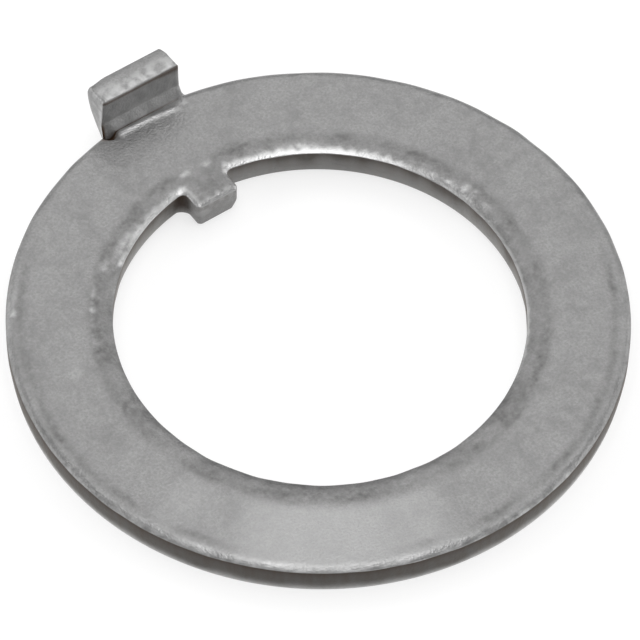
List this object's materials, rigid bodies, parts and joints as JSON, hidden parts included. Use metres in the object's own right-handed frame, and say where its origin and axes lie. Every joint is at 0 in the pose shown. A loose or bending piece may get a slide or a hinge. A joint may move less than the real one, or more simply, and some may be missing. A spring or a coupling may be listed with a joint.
{
  "type": "retaining ring",
  "caption": "Flat pressed steel retaining ring with an inner tang that keys it to a grooved shaft and an outer tab folded up square to lock the nut.",
  "frame": {"origin": "on the bore's axis, in the plane of the ring's underside", "axes": "+Z along the bore's axis, to the side the outer tab stands on; +Y through the inner tang and the outer tab"},
  "size_m": [0.0288, 0.0303, 0.0036],
  "materials": {
    "steel": "matt grey tumbled strip steel, bright along the rolled edges and darker on the sheared walls"
  },
  "bodies": {
    "root": {"retaining_ring": "steel"}
  },
  "joints": []
}
